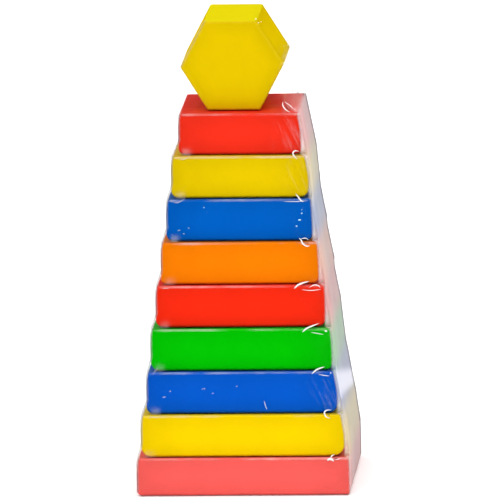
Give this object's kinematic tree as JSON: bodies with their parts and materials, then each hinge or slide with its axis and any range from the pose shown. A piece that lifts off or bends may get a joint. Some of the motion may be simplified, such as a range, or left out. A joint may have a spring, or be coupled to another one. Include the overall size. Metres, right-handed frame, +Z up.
{
  "type": "stacking pyramid toy",
  "caption": "Square wooden blocks of falling width, lacquered in bright colours, stacked on a round spindle under a hexagonal finial, all in clear shrink film.",
  "frame": {"origin": "centre of the base block's underside", "axes": "+Z up along the spindle, -Y the front of the toy (the finial's hexagonal end), +X to its right"},
  "size_m": [0.1006, 0.1006, 0.2208],
  "materials": {
    "coral_lacquer": "coral red gloss lacquer on sanded wood, light wear along the edges",
    "yellow_lacquer": "yellow gloss lacquer on sanded wood",
    "blue_lacquer": "blue gloss lacquer on sanded wood",
    "green_lacquer": "green gloss lacquer on sanded wood",
    "red_lacquer": "red gloss lacquer on sanded wood",
    "orange_lacquer": "orange gloss lacquer on sanded wood",
    "finial_lacquer": "yellow gloss lacquer on sanded wood",
    "bare_wood": "bare sanded beech dowel",
    "clear_film": "clear heat-shrunk film, glossy, with fine creases at the block corners"
  },
  "bodies": {
    "base": {"block_1_coral": "coral_lacquer", "spindle": "bare_wood"},
    "block_2": {"block_2_yellow": "yellow_lacquer"},
    "block_3": {"block_3_blue": "blue_lacquer"},
    "block_4": {"block_4_green": "green_lacquer"},
    "block_5": {"block_5_red": "red_lacquer"},
    "block_6": {"block_6_orange": "orange_lacquer"},
    "block_7": {"block_7_blue": "blue_lacquer"},
    "block_8": {"block_8_yellow": "yellow_lacquer"},
    "block_9": {"block_9_red": "red_lacquer"},
    "finial": {"hexagon_finial": "finial_lacquer"},
    "film": {"shrink_film": "clear_film"}
  },
  "joints": [
    {"name": "block_2_lift", "type": "slide", "parent": "base", "child": "block_2", "axis": [0, 0, 1], "range_m": [0, 0.18]},
    {"name": "block_3_lift", "type": "slide", "parent": "block_2", "child": "block_3", "axis": [0, 0, 1], "range_m": [0, 0.16]},
    {"name": "block_4_lift", "type": "slide", "parent": "block_3", "child": "block_4", "axis": [0, 0, 1], "range_m": [0, 0.14]},
    {"name": "block_5_lift", "type": "slide", "parent": "block_4", "child": "block_5", "axis": [0, 0, 1], "range_m": [0, 0.12]},
    {"name": "block_6_lift", "type": "slide", "parent": "block_5", "child": "block_6", "axis": [0, 0, 1], "range_m": [0, 0.1]},
    {"name": "block_7_lift", "type": "slide", "parent": "block_6", "child": "block_7", "axis": [0, 0, 1], "range_m": [0, 0.08]},
    {"name": "block_8_lift", "type": "slide", "parent": "block_7", "child": "block_8", "axis": [0, 0, 1], "range_m": [0, 0.06]},
    {"name": "block_9_lift", "type": "slide", "parent": "block_8", "child": "block_9", "axis": [0, 0, 1], "range_m": [0, 0.04]},
    {"name": "finial_lift", "type": "slide", "parent": "block_9", "child": "finial", "axis": [0, 0, 1], "range_m": [0, 0.02]},
    {"name": "film_lift", "type": "slide", "parent": "finial", "child": "film", "axis": [0, 0, 1], "range_m": [0, 0.225]}
  ]
}
